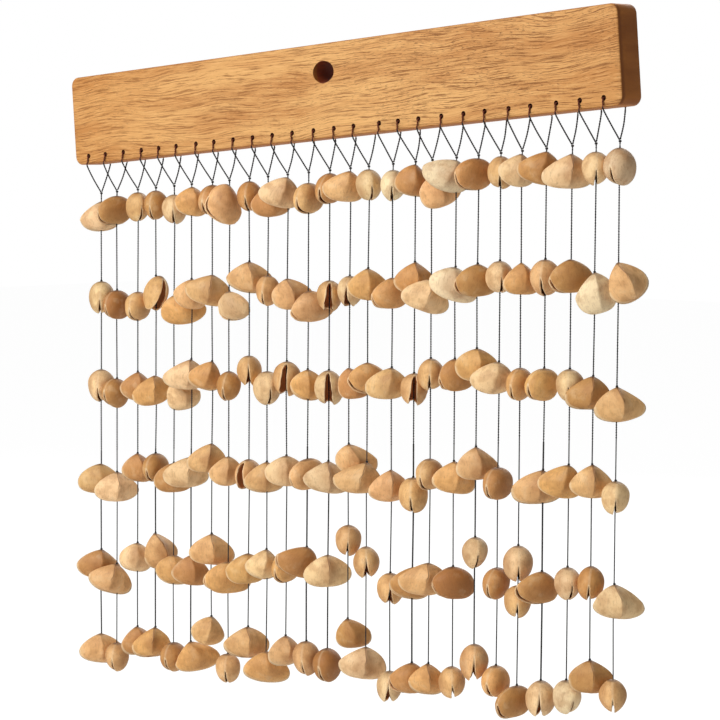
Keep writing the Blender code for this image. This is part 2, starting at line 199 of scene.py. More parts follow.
# Each strand from the left: millimetres its hole is off the even spacing and its knot off its hole, then its
# shells from the top row: kind, millimetres below the row's level, turn, tip, millimetres from the cord's
# hole to its middle, and its look: a tone, how its slit gapes, whether it is creased and whether it leans.
strands = [
    (0, -2, [("wide", 7, 0, 8, -3, "pale"), ("tall", 1, 90, 0, 0, "pale split"),
             ("tall", 1, 80, 0, 0, "pale split"), ("big", 6, 0, -5, 0, "tan"),
             ("big", 5, 5, -8, 0, "brown"), ("big", 3, 0, 0, 0, "tan")]),
    (-1, -3, [("wide", 4, 35, 0, -2, "brown split"), ("round", 8, 50, 0, 0, "dark split"),
              ("round", 8, 50, -8, 0, "brown split"), ("big", 12, 0, 0, 0, "pale crease"),
              ("big", 15, 0, -14, -2, "tan crease"), ("slim", 9, 75, 0, 0, "tan split")]),
    (-1, 0, [("slim", 3, -70, 0, 0, "tan split"), ("slim", 10, 60, 0, 0, "tan"),
             ("short", 4, 10, 0, -1, "brown"), ("short", -1, 15, 0, 0, "brown"),
             ("short", 0, 0, -5, 0, "pale"), ("short", -3, 20, 0, 0, "brown")]),
    (-1, 0, [("slim", 3, 70, 0, 0, "brown split"), ("deep", 0, -62, 0, 0, "tan open leaning"),
             ("wide", 7, 0, 0, -3, "gold crease"), ("round", -1, 60, 0, 0, "brown split"),
             ("deep", -7, 25, 10, 1, "tan crease"), ("wide", -3, 0, 0, -3, "gold crease")]),
    (-2, 1, [("slim", 7, 88, 0, 0, "pale split"), ("big", 14, 0, 12, 4, "gold"),
             ("short", 12, 0, 10, 5, "pale"), ("wide", 6, 0, 0, 0, "brown"), ("wide", 8, 0, 0, 1, "gold"),
             ("slim", 7, 60, 0, 0, "brown split")]),
    (-3, 1, [("short", 3, 10, 0, 0, "gold"), ("short", 4, 10, 0, -1, "tan"),
             ("big", -3, 0, -5, -3, "pale crease"), ("big", 2, 0, -5, -3, "pale crease"),
             ("wide", 8, 5, 0, 0, "brown"), ("big", 6, 0, 12, 2, "gold")]),
    (-2, 2, [("round", 3, 55, 0, 0, "brown split"), ("big", 2, 0, -5, -2, "tan crease"),
             ("short", -1, 0, -14, -2, "gold"), ("wide", -7, 0, -6, -2, "tan crease"),
             ("big", -7, 0, 0, 0, "tan crease"), ("short", -12, 0, -12, 0, "tan")]),
    (-3, 1, [("deep", 4, 10, -30, 4, "tan split"), ("short", 14, -25, 8, 2, "pale split"),
             ("slim", 6, 70, 0, 0, "brown split"), ("short", 2, 0, 0, -2, "tan"),
             ("big", 12, 12, -5, 0, "gold split"), ("slim", 13, 82, 0, 0, "tan split")]),
    (-3, 2, [("slim", 3, 75, 0, 0, "brown split"), ("big", -5, 0, 0, 0, "tan crease"),
             ("slim", -4, 90, 0, 0, "tan vee"), ("round", 4, 60, 0, 0, "tan open"),
             ("wide", 6, 0, 0, -2, "gold"), ("big", -6, 0, 0, -1, "tan crease")]),
    (-3, 1, [("wide", 8, 0, 10, 0, "brown"), ("slim", 5, 72, 0, 0, "tan split"),
             ("tall", 7, -75, 0, 0, "pale split"), ("wide", 6, 0, 0, -2, "tan"),
             ("short", 3, 0, -5, -2, "pale"), ("big", 10, 0, 0, 0, "gold")]),
    (-3, 1, [("wide", 3, 0, -16, -2, "pale"), ("wide", 8, 0, 6, 2, "tan crease"),
             ("tall", 1, 80, 0, 0, "tan open"), ("wide", 2, 0, 0, -1, "pale"),
             ("round", 5, 50, 0, 0, "gold split"), ("short", -1, 20, 0, -1, "tan")]),
    (-3, 2, [("round", 8, 48, 0, 0, "tan split"), ("wide", 17, 10, 12, 0, "tan split"),
             ("short", 7, 0, 0, 0, "gold"), ("wide", 4, 35, 8, -2, "tan split"),
             ("wide", 1, 15, -12, -5, "brown split"), ("tall", 2, 75, 0, 0, "tan split")]),
    (-2, 2, [("round", 3, 58, 0, -1, "brown split"), ("slim", 11, 88, 0, 0, "tan open"),
             ("tall", 8, 88, 0, 0, "pale open"), ("big", 6, 0, 0, -1, "pale crease"),
             ("big", 6, 0, 0, 0, "pale crease"), ("tall", 6, 60, 0, 0, "dark split")]),
    (-2, 2, [("wide", 3, 0, -8, -3, "tan"), ("slim", 9, 75, 0, 1, "pale vee"),
             ("short", 7, 0, 0, 4, "brown"), ("wide", -5, 0, 5, 4, "tan"),
             ("slim", -14, 90, 0, 0, "tan split"), ("short", -14, 0, 8, 2, "brown")]),
    (-3, 1, [("slim", 3, -78, 0, 0, "pale split"), ("wide", 5, 0, 0, 0, "gold"),
             ("wide", 4, 15, 0, 1, "gold split"), ("big", 7, 0, -6, -5, "tan crease"),
             ("slim", 0, 90, 0, -1, "tan vee"), ("big", 4, 0, 0, -2, "pale crease")]),
    (1, 0, [("slim", 5, 85, 0, 1, "cream split"), ("short", 12, 15, 0, -2, "gold split"),
            ("wide", 8, 0, -6, -2, "tan"), ("wide", 12, 5, 0, -1, "tan crease"),
            ("slim", 17, 90, 0, -1, "tan vee"), ("slim", 19, 85, 0, -1, "pale vee")]),
    (-1, 3, [("short", 3, 0, -14, 1, "brown"), ("wide", 3, 0, 0, 0, "brown crease"),
             ("slim", 12, 88, 0, -1, "tan open"), ("tall", 17, 80, 0, 0, "tan split"),
             ("wide", 13, 0, 0, -1, "brown"), ("short", 13, 0, 0, -3, "brown split")]),
    (-2, 0, [("wide", 11, 0, 12, 3, "tan"), ("big", 15, 0, -16, 0, "pale crease"),
             ("slim", 3, 85, 0, 1, "tan split"), ("round", 5, 55, 0, 0, "tan split"),
             ("big", 10, 0, -5, -3, "tan crease"), ("short", 13, 0, 0, -1, "gold crease")]),
    (-1, 1, [("big", 3, 0, -18, -3, "cream"), ("big", 8, 0, -12, 1, "cream"),
             ("short", 4, 20, 0, 1, "brown split"), ("wide", 7, 0, 0, 0, "gold"),
             ("wide", 12, 15, 0, 0, "dark split"), ("slim", 14, 90, 0, 1, "tan split")]),
    (-1, 1, [("wide", 3, 30, -5, -3, "brown split"), ("wide", 7, 15, 0, -1, "brown split"),
             ("wide", -2, 0, 0, 0, "gold"), ("wide", -2, 0, 0, 1, "tan"),
             ("slim", -7, -80, 0, 0, "pale split"), ("tall", -1, 88, 0, -1, "tan vee")]),
    (-2, 2, [("slim", 3, 85, 0, 0, "tan split"), ("slim", 6, -85, 0, -1, "pale split"),
             ("wide", 7, 0, -8, -3, "pale"), ("round", 11, 50, 0, 0, "brown split"),
             ("round", 12, 60, 0, -1, "brown split"), ("round", 12, 58, 0, 0, "gold split")]),
    (-1, 0, [("short", 3, 0, -8, -2, "pale"), ("short", 8, 15, 0, 0, "gold"),
             ("round", 11, 60, 0, -1, "gold split"), ("tall", 60, 90, 0, 0, "pale split"),
             ("slim", 23, 88, 0, -1, "tan split"), ("wide", 24, 40, 0, -3, "brown split")]),
    (-2, 2, [("wide", 3, 0, -6, -3, "brown"), ("tall", 7, 72, 0, 0, "tan split"),
             ("round", 12, 40, 0, -2, "gold split"), ("big", 13, 0, -5, -3, "tan crease"),
             ("wide", 14, 20, -5, -2, "brown split"), ("tall", 20, 82, 0, 0, "pale vee")]),
    (0, 2, [("big", 6, 0, -4, -2, "pale crease"), ("wide", 8, 15, 0, 0, "brown split"),
            ("slim", 13, 82, 0, 0, "pale split"), ("wide", 10, 0, -8, -4, "gold"),
            ("slim", 11, -78, 0, 1, "pale split"), ("slim", 19, -72, 0, 2, "cream split")]),
    (0, 2, [("slim", 6, 88, 0, 0, "pale split"), ("deep", 17, 0, 16, -3, "cream"),
            ("wide", 18, 0, -5, -2, "brown crease"), ("wide", 10, 0, 0, 0, "tan crease"),
            ("slim", 10, 80, 0, 0, "brown split"), ("wide", 6, 0, 0, 1, "brown crease")]),
    (0, 2, [("tall", 5, 55, 0, 0, "grey split"), ("deep", 12, 0, 22, 0, "tan crease"),
            ("big", 25, 0, 0, 2, "tan crease"), ("slim", 20, 88, 0, 1, "pale split"),
            ("big", 21, 0, 0, 3, "pale crease"), ("slim", 17, 85, 0, 1, "tan split")]),
]


# The middle of a string hole, in the middle of the bar's thickness.
def holePlace(number):
    middle = (len(strands) - 1) / 2
    pitch = (bar["length"] - 2 * bar["endHolesIn"]) / (len(strands) - 1)
    return alongBar @ Vector(((number - middle) * pitch + strands[number][0] * mm, 0.0, holeLevel))


# Where a cord passes the line of the first row. It hangs plumb from there.
def rowLinePlace(number):
    x = holePlace(number).x + strands[number][1] * mm
    drop = (firstRowBelowBar - barBottom) / math.cos(bar["tilt"])
    return Vector((x, cordsBehindMiddle, x * math.tan(bar["tilt"]) - drop))


def knotPlace(number):
    return rowLinePlace(number) - Vector((0, 0, knotBelowLine))


def hangPlace(number, row):
    return rowLinePlace(number) - Vector((0, 0, row * rowPitch + strands[number][2][row][1] * mm))


# Cords: two yarns laid round each other.
cord = {
    "radius": 0.00054, "legRadius": 0.00060, "waist": 0.74, "twistPitch": 0.0030, "stepsPerTwist": 8,
    "profilePoints": 6, "sway": 0.00035, "swayAtHole": 0.3, "bendBelow": 0.018, "tail": 0.009,
    "mouthOut": 0.0008,
}
leg = {  # how far its points lie from the knot, the bar's bottom edge and the string hole
    "offKnot": 0.0012, "shake": 0.00035, "bow": 0.0005, "drift": 0.22, "belowEdge": 0.0015,
    "aboveEdge": 0.0014, "belowHole": 0.0012, "tuck": 0.0001, "inHole": 0.0012, "overHole": 0.0001,
}
knotForm = {
    "radius": 0.0010, "topRadius": 0.0009, "thick": 0.48, "out": 0.52, "leans": (0.55, -0.75), "sides": 6,
    "steps": 10, "tailTurn": 0.3, "chance": 0.6, "lift": 0.0003,
}
yarn = {  # its two fibres, then the share and the colour of what lies over them
    "dark": (24, 23, 24), "grey": (60, 58, 60), "dust": (0.3, (96, 88, 80)), "byTheWood": (1, (104, 44, 22)),
    "fibreStretch": (2600, 2600, 700), "dustScale": 90.0,
}


def cordMaterial():
    material, tree, shader = newMaterial("charcoalCord", (0.03, 0.03, 0.032), 0.85)
    place = addNode(tree, "ShaderNodeTexCoord", output=3)
    fibres = noiseOf(stretched(place, yarn["fibreStretch"]), 1.0, 3)
    dust = noiseOf(place, yarn["dustScale"], 2)
    colour = mixColour(fibres.within(0.35, 0.75), linear(*yarn["dark"]), linear(*yarn["grey"]))
    colour = tinted(colour, dust.within(0.55, 0.8), yarn["dust"])
    level = stretched(place, (1, 1, 1), (0, bar["tilt"], 0))
    rise = addNode(tree, "ShaderNodeSeparateXYZ", {}, {0: level}, 2)
    colour = tinted(colour, rise.within(barBottom - mm, barBottom + mm), yarn["byTheWood"])
    feed(tree, shader, colour=colour, normal=bumped(fibres, 0.4, 0.0001))
    return material


# Points a step apart on a smooth curve through the given ones.
def smoothRoute(points, step):
    route = []
    ends = [points[0] * 2 - points[1], *points, points[-1] * 2 - points[-2]]
    for k in range(1, len(ends) - 2):
        a, b, c, d = ends[k - 1:k + 3]
        count = max(2, round((c - b).length / step))
        for i in range(count):
            t = i / count
            route.append(0.5 * (2 * b + (c - a) * t + (2 * a - 5 * b + 4 * c - d) * t * t
                                + (3 * b - a - 3 * c + d) * t ** 3))
    return [*route, points[-1]]


# The cord's cross-section, wide over its two yarns and narrow at its waist.
def makeProfile():
    curve = bpy.data.curves.new("cordProfile", "CURVE")
    spline = curve.splines.new("POLY")
    count = cord["profilePoints"]
    spline.points.add(count - 1)
    spline.use_cyclic_u = True
    for k, point in enumerate(spline.points):
        angle = 2 * math.pi * k / count
        reach = cord["radius"] * (1.0 if k % (count // 2) == 0 else cord["waist"])
        point.co = (reach * math.cos(angle), reach * math.sin(angle), 0, 1)
    return bpy.data.objects.new("cordProfile", curve)


def twistedMesh(name, route, radius):
    curve = bpy.data.curves.new(name, "CURVE")
    curve.dimensions = "3D"
    curve.twist_mode = "MINIMUM"
    curve.bevel_mode = "OBJECT"
    curve.bevel_object = cordProfile
    curve.use_fill_caps = True
    spline = curve.splines.new("POLY")
    spline.points.add(len(route) - 1)
    for k, (point, place) in enumerate(zip(spline.points, route)):
        point.co = (*place, 1)
        point.tilt = 2 * math.pi * k / cord["stepsPerTwist"]
        point.radius = radius / cord["radius"]
    holder = bpy.data.objects.new(name, curve)
    bpy.context.collection.objects.link(holder)
    bpy.context.view_layer.update()
    mesh = bpy.data.meshes.new_from_object(holder.evaluated_get(bpy.context.evaluated_depsgraph_get()))
    mesh.name = name
    bpy.data.objects.remove(holder)
    bpy.data.curves.remove(curve)
    mesh.shade_smooth()
    return mesh


def routeLength(route):
    return sum((b - a).length for a, b in zip(route, route[1:]))


# Two small rings of cord, laid across each other.
def addKnot(bm, place, radius, turned):
    for lean in knotForm["leans"]:
        made = bmesh.ops.create_circle(bm, segments=knotForm["sides"], radius=radius * knotForm["thick"])
        ringVerts = made["verts"]
        middle = (radius * knotForm["out"], 0, 0)
        bmesh.ops.translate(bm, vec=middle, verts=ringVerts)
        bmesh.ops.rotate(bm, verts=ringVerts, cent=middle, matrix=Matrix.Rotation(math.pi / 2, 3, "X"))
        edges = list({e for v in ringVerts for e in v.link_edges})
        spun = bmesh.ops.spin(bm, geom=ringVerts + edges, axis=(0, 0, 1), cent=(0, 0, 0), angle=2 * math.pi,
                              steps=knotForm["steps"], use_merge=True)
        whole = set(ringVerts) | {g for g in spun["geom_last"] if isinstance(g, bmesh.types.BMVert)}
        grown = set()
        while whole != grown:
            grown = set(whole)
            whole |= {e.other_vert(v) for v in grown for e in v.link_edges}
        turnBy = Matrix.Rotation(turned, 4, "Z") @ Matrix.Rotation(lean, 4, "X")
        bmesh.ops.transform(bm, matrix=Matrix.Translation(place) @ turnBy, verts=list(whole))


# A leg from its knot up to its hole's mouth: side is -1 in front of the bar and 1 behind it.
def legRoute(number, side):
    hole = holePlace(number)
    knot = knotPlace(number)
    face = side * (bar["thickness"] / 2 + cord["mouthOut"])
    edge = hole.z - bar["holesAboveEdge"]
    shake = random.uniform(-1, 1) * leg["shake"]
    start = knot + (Vector((hole.x, face, edge)) - knot).normalized() * leg["offKnot"]
    bend = Vector((hole.x + leg["drift"] * (knot.x - hole.x), face, edge - leg["belowEdge"]))
    return [
        start,
        (start + bend) / 2 + Vector((shake, side * leg["bow"], 0)),
        bend,
        Vector((hole.x + shake, face, edge + leg["aboveEdge"])),
        Vector((hole.x - shake, face - side * leg["tuck"], hole.z - leg["belowHole"])),
        Vector((hole.x, side * (bar["thickness"] / 2 - leg["inHole"]), hole.z + leg["overHole"])),
    ]


random.seed(7)
cordProfile = makeProfile()
charcoal = cordMaterial()
cordStep = cord["twistPitch"] / cord["stepsPerTwist"]
for number in range(len(strands)):
    label = f"{number + 1:02d}"
    knot = knotPlace(number)
    rows = len(strands[number][2])
    # the loop through the bar
    loopRoute = smoothRoute(legRoute(number, -1) + legRoute(number, 1)[::-1], cordStep)
    loopMesh = twistedMesh(f"loopCord_{label}", loopRoute, cord["legRadius"])
    loop = addPiece(f"loopCord_{label}", loopMesh, charcoal, "bar")
    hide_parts(f"loop_{label}")
    # the run down through the shells, which ends in a knot inside the last one
    stops = [knot]
    for row in range(rows):
        sway = Vector((random.uniform(-1, 1), random.uniform(-1, 1), 0)) * cord["sway"]
        hang = hangPlace(number, row)
        stops += [hang + sway * cord["swayAtHole"], hang - Vector((0, 0, cord["bendBelow"])) + sway]
    stops[-1] = hangPlace(number, rows - 1) - Vector((0, 0, cord["tail"]))
    dropRoute = smoothRoute(stops, cordStep)
    bm = bmesh.new()
    addKnot(bm, knot, knotForm["radius"], broadside)
    addKnot(bm, stops[-1], knotForm["radius"], knotForm["tailTurn"])
    for row in range(1, rows):
        if random.random() < knotForm["chance"]:
            place = hangPlace(number, row) + Vector((0, 0, knotForm["lift"]))
            addKnot(bm, place, knotForm["topRadius"], random.uniform(0, 3))
    knotMesh = meshFrom(bm, f"knots_{label}")
    knots = addPiece(f"knots_{label}", knotMesh, charcoal, f"strand_{label}")
    dropMesh = twistedMesh(f"dropCord_{label}", dropRoute, cord["radius"])
    drop = addPiece(f"dropCord_{label}", dropMesh, charcoal, f"strand_{label}")
    routeLength(dropRoute)
bpy.data.objects.remove(cordProfile)
print("cords laid")

# Nut shells: two valves joined over the top, with a slit from end to end below.
shellKinds = {  # length, thickness and height
    "big": (0.0310, 0.0125, 0.0205), "wide": (0.0270, 0.0120, 0.0200), "short": (0.0230, 0.0120, 0.0195),
    "round": (0.0230, 0.0140, 0.0200), "slim": (0.0210, 0.0155, 0.0200), "tall": (0.0220, 0.0170, 0.0225),
    "deep": (0.0245, 0.0130, 0.0245),
}
shell = {
    "around": 28, "down": 20, "wall": 0.0012, "holeRadius": 0.0009, "holeRings": 1.5, "dent": 0.00045,
    "dentSize": 0.012, "shear": 0.12, "slope": 0.12, "slip": 0.0006, "skew": 0.30, "lean": math.radians(4),
    "strongLean": math.radians(18), "grown": 1.02, "farSlitStart": 0.80, "lipWidth": 0.0012, "ragPitch": 900,
    "turnedFrom": 30, "endOnFrom": 65, "shade": (0.92, 1.06), "tint": (0.97, 1.03),
}
onSeam, nearSeam, atPole = 1e-5, 1e-4, 0.999
# Ranges for chance: how pointed the plan is, the level of the widest place, how steep and how round the
# roof is, and how full the foot.
shellForms = {
    "broad": {"plan": (1.02, 1.30), "widest": (0.50, 0.68), "roof": (1.45, 1.80), "dome": (1.20, 1.46),
              "foot": (2.0, 2.6), "bulge": (1.24, 1.36), "slide": (-0.0004, 0.0002)},
    "creased": {"plan": (0.90, 1.02), "widest": (0.50, 0.66), "roof": (1.45, 1.75), "dome": (1.14, 1.36),
                "foot": (2.0, 2.6), "bulge": (1.38, 1.52), "slide": (-0.0004, 0.0002)},
    "lipped": {"plan": (1.50, 1.90), "widest": (0.48, 0.60), "roof": (1.70, 1.95), "dome": (1.30, 1.55),
               "foot": (2.1, 2.7), "bulge": (1.14, 1.22), "slide": (-0.0019, -0.0013)},
    "turned": {"plan": (2.00, 2.40), "widest": (0.46, 0.58), "roof": (1.90, 2.20), "dome": (1.60, 2.00),
               "foot": (2.2, 2.8), "bulge": (1.04, 1.10), "slide": (-0.0010, -0.0004)},
    "endOn": {"plan": (1.45, 1.80), "widest": (0.44, 0.56), "roof": (1.90, 2.20), "dome": (1.55, 1.95),
              "foot": (1.9, 2.4), "bulge": (1.06, 1.14), "slide": (-0.0003, 0.0003)},
}
valveForm = {"widest": (0.42, 0.52), "roof": (1.9, 2.2), "dome": (1.6, 2.0), "foot": (1.8, 2.3)}
slits = {  # half gap at the bottom, where it starts down the ends, how it widens, and how ragged its lips are
    "closed": (0.00035, 0.55, 0.6, 0.00012),
    "split": (0.00120, 0.46, 0.7, 0.00045),
    "vee": (0.00320, 0.34, 1.3, 0.00045),
    "open": (0.00310, 0.14, 0.45, 0.00085),
}
tones = {
    "cream": (252, 226, 180), "pale": (246, 208, 153), "tan": (236, 185, 123), "gold": (232, 175, 104),
    "brown": (206, 148, 84), "dark": (182, 122, 62), "grey": (214, 178, 138),
}


# A share of the full reach, from nothing at the top, level 0, to nothing at the bottom, level 1.
def reachAt(level, form):
    if level < form["widest"]:
        return (1 - (1 - level / form["widest"]) ** form["roof"]) ** (1 / form["dome"])
    return (1 - ((level - form["widest"]) / (1 - form["widest"])) ** form["foot"]) ** (1 / form["foot"])


# Turns a unit sphere, split along its seam, into a shell whose cord hole is at the origin.
def shapeShell(bm, kind, shift, look):
    length, thickness, height = shellKinds[kind]
    half, thick, height = look["grown"] * length / 2, thickness / 2, look["grown"] * height
    gap, _, widening, ragged = slits[look["slit"]]
    plan = 2 / look["form"]["plan"]
    bulge = thick * look["form"]["bulge"]
    valves = {v: math.copysign(1, sum(f.calc_center_median().y for f in v.link_faces)) for v in bm.verts}
    spot = bm.verts.layers.float_vector["spot"]
    insideLipCrease = bm.verts.layers.float_color["insideLipCrease"]
    for v in bm.verts:
        down = math.acos(max(-1.0, min(1.0, v.co.z))) / math.pi
        around = math.atan2(v.co.y, v.co.x) if down < atPole else 0.0
        seam = abs(v.co.y) < onSeam
        valve = valves[v]
        level = (1 - math.cos(math.pi * down)) / 2
        ends, middles = math.cos(around), math.sin(around)
        x = math.copysign(abs(ends) ** plan, ends) * half * reachAt(level, look["form"])
        y = math.copysign(abs(middles) ** plan, middles) * bulge * reachAt(level, look["valve"])
        y = 0.0 if seam else y
        if down < shell["holeRings"] / shell["down"]:
            x, y = ends * shell["holeRadius"], middles * shell["holeRadius"]
        opening = 0.0
        start = look["starts"][ends > 0]
        if down > start - 0.001:
            share = max(0.0, (down - start) / (1 - start))
            rag = noise.noise(Vector((x * shell["ragPitch"], look["seed"], valve * 3))) * seam
            opening = max(0.0, gap * share ** widening + ragged * rag * min(1.0, share * 5))
        y = valve * math.hypot(y, opening)
        spread = min(1.0, level * 3)
        z = -level * height + spread * (x * look["slope"] * level + valve * look["slip"] * level)
        apart = min(1.0, opening / gap)
        leanBy = look["shear"] * half * (level - 0.5) * spread + valve * look["form"]["slide"] * apart
        skewed = look["skew"] * abs(y) * spread
        place = Vector((x + shift * min(1.0, level * 2) + leanBy + skewed, y, z))
        dents = place / shell["dentSize"] + Vector((look["seed"] * 7, 0, 0))
        place += Vector((x, y * 2, z / 2)).normalized() * noise.noise(dents) * shell["dent"] * spread
        # How near the slit's lips it is, and whether the shell is creased: these drive the painted highlight
        # on the lips and the painted shade along the crease in the shell's material.
        nearLip = max(0.0, 1 - (abs(y) - opening) / shell["lipWidth"]) if opening > 0 else 0.0
        v[spot] = Vector((x, y, z)) / mm
        v[insideLipCrease] = (0.0, nearLip, 1.0 if look["crease"] else 0.0, 1.0)
        v.co = place


def addShell(bm, place, kind, shift, look):
    one = bmesh.new()
    bmesh.ops.create_uvsphere(one, u_segments=shell["around"], v_segments=shell["down"], radius=1.0)
    bmesh.ops.delete(one, geom=[max(one.verts, key=lambda v: v.co.z)], context="VERTS")
    tops = [math.cos(math.pi * start) for start in look["starts"]]
    seam = []
    for e in one.edges:
        top = tops[sum(v.co.x for v in e.verts) > 0] + nearSeam
        if all(abs(v.co.y) < onSeam and v.co.z < top for v in e.verts):
            seam.append(e)
    bmesh.ops.split_edges(one, edges=seam)
    tone = one.verts.layers.float_color.new("tone")
    one.verts.layers.float_vector.new("spot")
    insideLipCrease = one.verts.layers.float_color.new("insideLipCrease")
    shapeShell(one, kind, shift, look)
    for v in one.verts:
        v[tone] = (*look["colour"], look["seed"])
    inner = bmesh.ops.solidify(one, geom=list(one.faces), thickness=shell["wall"])["geom"]
    for v in inner:
        if isinstance(v, bmesh.types.BMVert):
            v[insideLipCrease] = (1.0, *v[insideLipCrease][1:])
    bmesh.ops.transform(one, matrix=place, verts=one.verts)
    mesh = bpy.data.meshes.new("one")
    one.to_mesh(mesh)
    one.free()
    bm.from_mesh(mesh)
    bpy.data.meshes.remove(mesh)


def chanceOf(ranges):
    return {name: random.uniform(*ends) for name, ends in ranges.items()}


# A shell's look from its words in the table, with its own small chances.
def readLook(words, turn):
    tone, *marks = words.split()
    turned = abs(turn) >= shell["turnedFrom"]
    if turned:
        form = "turned" if abs(turn) < shell["endOnFrom"] else "endOn"
    else:
        form = "creased" if "crease" in marks else "lipped" if marks else "broad"
    shade = random.uniform(*shell["shade"])
    slit = next((mark for mark in marks if mark in slits), "closed")
    starts = [slits[slit][1]] * 2
    if turned:  # the end that faces away stays closed, so that nothing shows through
        starts[turn > 0] = max(starts[0], shell["farSlitStart"])
    return {
        "slit": slit, "starts": starts, "crease": "crease" in marks,
        "grown": 1.0 if turned else shell["grown"],
        "skew": shell["skew"] * random.uniform(0.4, 1.0) * (form in ("broad", "creased")),
        "lean": shell["strongLean"] if "leaning" in marks else shell["lean"] * random.uniform(-1, 1),
        "colour": [c * shade * random.uniform(*shell["tint"]) for c in linear(*tones[tone])],
        "form": chanceOf(shellForms[form]), "valve": chanceOf(valveForm), "seed": random.random(),
        "shear": random.uniform(-1, 1) * shell["shear"], "slope": random.uniform(-1, 1) * shell["slope"],
        "slip": random.uniform(-1, 1) * shell["slip"],
    }


# Of these layers, the pale rim and lip ones are painted highlights, and the dark crease one is painted shade.
shellTints = {  # the share and the colour of each layer over a shell's own tone
    "clouds": (0.38, (172, 112, 52)), "mottle": (0.20, (150, 96, 48)), "bleached": (0.22, (250, 222, 176)),
    "burnish": (1, (156, 100, 52)), "streaks": (0.24, (132, 82, 40)), "specks": (0.12, (118, 74, 40)),
    "top": (0.26, (132, 88, 52)), "crease": (0.62, (118, 72, 38)), "seamHighlight": (0.20, (246, 220, 178)),
    "cordHole": (0.7, (96, 60, 34)), "lip": (0.60, (244, 214, 168)), "inside": (1, (214, 152, 98)),
}
shellNoises = {  # scale, detail and roughness
    "clouds": (0.13, 3, 0.5), "mottle": (0.42, 4, 0.65), "specks": (1.6, 3, 0.6), "streaks": (1.0, 3, 0.6),
}


def shellMaterial():
    material, tree, shader = newMaterial("nutShell", (0.6, 0.4, 0.22), 0.62)
    tone = addNode(tree, "ShaderNodeAttribute", {"attribute_name": "tone"})
    seed = addNode(tree, "ShaderNodeAttribute", {"attribute_name": "tone"}, output=3)
    spot = addNode(tree, "ShaderNodeAttribute", {"attribute_name": "spot"}, output=1)
    insideLipCrease = addNode(tree, "ShaderNodeAttribute", {"attribute_name": "insideLipCrease"})
    inside, lip, creased = (addNode(tree, "ShaderNodeSeparateColor", {}, {0: insideLipCrease}, k) for k in range(3))
    across, through, level = (addNode(tree, "ShaderNodeSeparateXYZ", {}, {0: spot}, k) for k in range(3))
    own = addNode(tree, "ShaderNodeVectorMath", {"operation": "ADD"},
                  {0: spot, 1: addNode(tree, "ShaderNodeCombineXYZ", {}, {0: seed * 300.0, 1: seed * 170.0})})
    clouds = noiseOf(own, *shellNoises["clouds"])
    mottle = noiseOf(own, *shellNoises["mottle"])
    specks = noiseOf(own, *shellNoises["specks"])
    streaks = noiseOf(stretched(own, (1.0, 1.0, 0.25)), *shellNoises["streaks"])
    colour = tinted(tone, clouds.within(0.44, 0.66), shellTints["clouds"])
    colour = tinted(colour, mottle.within(0.50, 0.72), shellTints["mottle"])
    colour = tinted(colour, clouds.within(0.46, 0.30), shellTints["bleached"])
    thick = through.math("ABSOLUTE")
    burnish = thick.within(2.6, 7.0) * (seed.within(0.15, 0.85) * 0.34 + 0.10)
    colour = tinted(colour, burnish, shellTints["burnish"])
    colour = tinted(colour, streaks.within(0.50, 0.70), shellTints["streaks"])
    colour = tinted(colour, specks.within(0.60, 0.78), shellTints["specks"])
    colour = tinted(colour, level.within(-6.0, -1.0), shellTints["top"])
    wander = (noiseOf(stretched(own, (0.0, 0.0, 0.16)), 1.0, 1) - 0.5) * 2.0
    off = (across + wander).math("ABSOLUTE")
    # Painted shade: a dark line down the crease of a creased shell, as shade in the crack of its fold; the
    # bump below also cuts it in as a groove.
    crease = (1 - off.within(0.10, 0.55)) * creased * level.within(-16.0, -6.0)
    colour = tinted(colour, crease, shellTints["crease"])
    # Painted highlight: a pale line along the seam, where the two valves meet, on all but the creased shells.
    colour = tinted(colour, thick.within(1.1, 0.3) * (1 - creased), shellTints["seamHighlight"])
    colour = tinted(colour, level.within(-1.6, -0.5), shellTints["cordHole"])
    # Painted highlight: the valves are paler along the slit's lips.
    colour = tinted(colour, lip.within(0.30, 0.95), shellTints["lip"])
    colour = tinted(colour, inside.within(0.35, 0.8), shellTints["inside"])
    height = streaks * 0.4 + mottle * 0.7 + specks * 0.2 - crease * 1.2
    feed(tree, shader, colour=colour, roughness=specks * 0.2 + 0.52, normal=bumped(height, 0.6, 0.0006))
    return material


random.seed(26)
shellSkin = shellMaterial()
for number in range(len(strands)):
    label = f"{number + 1:02d}"
    bm = bmesh.new()
    for name in ("tone", "insideLipCrease"):
        bm.verts.layers.float_color.new(name)
    bm.verts.layers.float_vector.new("spot")
    for row, (kind, _, turn, tip, shift, words) in enumerate(strands[number][2]):
        look = readLook(words, turn)
        place = Matrix.Translation(hangPlace(number, row)) @ Matrix.Rotation(broadside, 4, "Z")
        aside = shellKinds[kind][2] / 2 * math.sin(look["lean"])
        place = place @ Matrix.Translation((aside, 0, 0)) @ Matrix.Rotation(look["lean"], 4, "Y")
        place = place @ Matrix.Rotation(math.radians(turn), 4, "Z")
        place = place @ Matrix.Rotation(-math.radians(tip), 4, "Y")
        addShell(bm, place, kind, shift * mm, look)
    mesh = meshFrom(bm, f"shells_{label}")
    shells = addPiece(f"shells_{label}", mesh, shellSkin, f"strand_{label}")
    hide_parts(f"strand_{label}")
print("shells grown")


